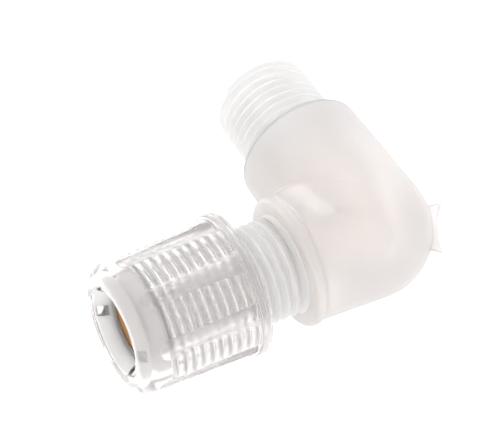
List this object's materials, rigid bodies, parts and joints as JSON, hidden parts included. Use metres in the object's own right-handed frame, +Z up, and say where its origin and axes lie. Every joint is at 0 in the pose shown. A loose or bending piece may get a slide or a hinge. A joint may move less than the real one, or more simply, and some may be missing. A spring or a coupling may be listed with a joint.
{
  "type": "elbow tube fitting",
  "caption": "Plastic elbow fitting: male pipe thread on one leg, and a clear fluted union nut over a clamping ring and seal on the other.",
  "frame": {"origin": "where the axes of the two legs cross, at the centre of the elbow's heel", "axes": "+Y out along the threaded port, -X out along the tube leg and its nut, +Z up from the plane of the legs"},
  "size_m": [0.0342, 0.027, 0.0138],
  "materials": {
    "body_plastic": "milky translucent, satin",
    "nut_plastic": "clear moulded plastic",
    "collet_plastic": "satin white",
    "seal_rubber": "matte brown"
  },
  "bodies": {
    "elbow": {"elbow_body": "body_plastic", "o_ring": "seal_rubber"},
    "collet": {"clamp_collet": "collet_plastic", "seal_cup": "collet_plastic"},
    "nut": {"union_nut": "nut_plastic"}
  },
  "joints": [
    {"name": "collet_travel", "type": "slide", "parent": "elbow", "child": "collet", "axis": [-1, 0, 0], "range_m": [0, 0.0091]},
    {"name": "nut_turn", "type": "hinge", "parent": "collet", "child": "nut", "pos_m": [-0.02, 0, 0], "axis": [-1, 0, 0], "range_deg": [0, 3600]}
  ],
  "couplings": [
    {"joint": "collet_travel", "follows": "nut_turn", "m_per_rad": 0.00014435}
  ]
}
